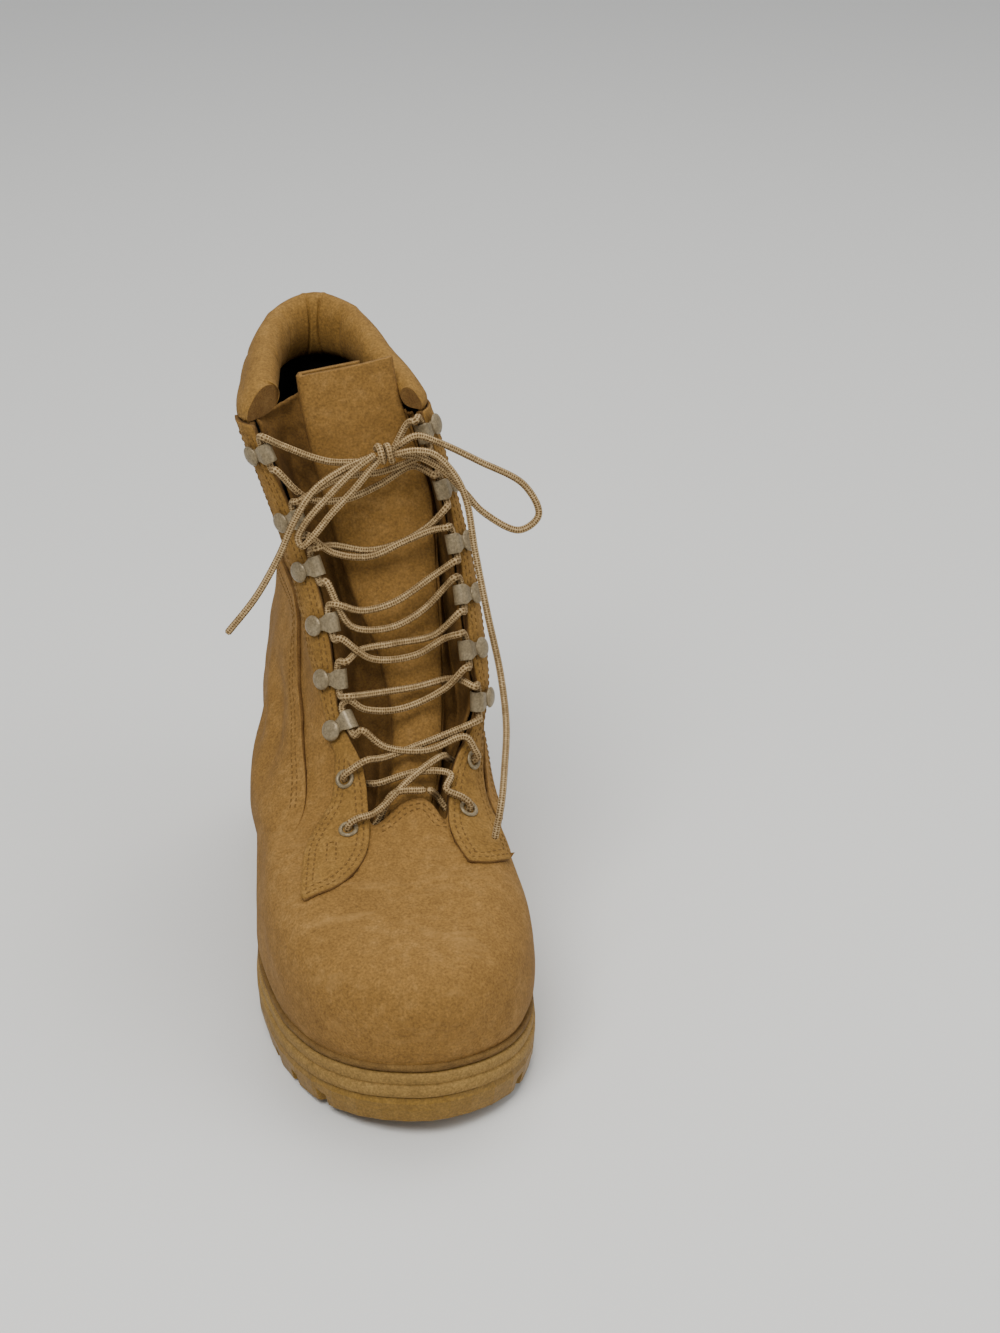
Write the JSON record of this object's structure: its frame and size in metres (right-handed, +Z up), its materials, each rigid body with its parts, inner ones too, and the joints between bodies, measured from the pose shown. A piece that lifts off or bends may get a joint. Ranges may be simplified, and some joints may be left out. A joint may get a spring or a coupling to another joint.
{
  "type": "combat boot",
  "caption": "Right-foot lace-up combat boot: hollow leather upper with eyestay facings and quarters, padded collar, tongue, speed hooks, tied lace, welted lugged sole.",
  "frame": {"origin": "on the floor under the middle of the boot's bounding box, taken without the free lace", "axes": "+Z up, -Y towards the toe, +Y towards the heel, +X towards the inner (medial) side, -X towards the outer (lateral) side"},
  "size_m": [0.1371, 0.3053, 0.2691],
  "materials": {
    "leather": "matte",
    "lining": "matte",
    "midsole_foam": "matte",
    "outsole_rubber": "satin",
    "hardware": "satin",
    "lace": "matte"
  },
  "bodies": {
    "root": {"backstay": "leather", "collar": "leather", "eyelet_lateral_1": "hardware", "eyelet_lateral_2": "hardware", "eyelet_medial_1": "hardware", "eyelet_medial_2": "hardware", "facing_lateral": "leather", "facing_medial": "leather", "hook_lateral_1": "hardware", "hook_lateral_2": "hardware", "hook_lateral_3": "hardware", "hook_lateral_4": "hardware", "hook_lateral_5": "hardware", "hook_lateral_6": "hardware", "hook_medial_1": "hardware", "hook_medial_2": "hardware", "hook_medial_3": "hardware", "hook_medial_4": "hardware", "hook_medial_5": "hardware", "hook_medial_6": "hardware", "insole": "lining", "lace_crossings": "lace", "lace_end_left": "lace", "lace_end_right": "lace", "lace_knot": "lace", "lace_loop_left": "lace", "lace_loop_right": "lace", "midsole": "midsole_foam", "outsole": "outsole_rubber", "quarter_lateral": "leather", "quarter_medial": "leather", "tongue": "leather", "upper": "leather", "welt": "leather"}
  },
  "joints": []
}
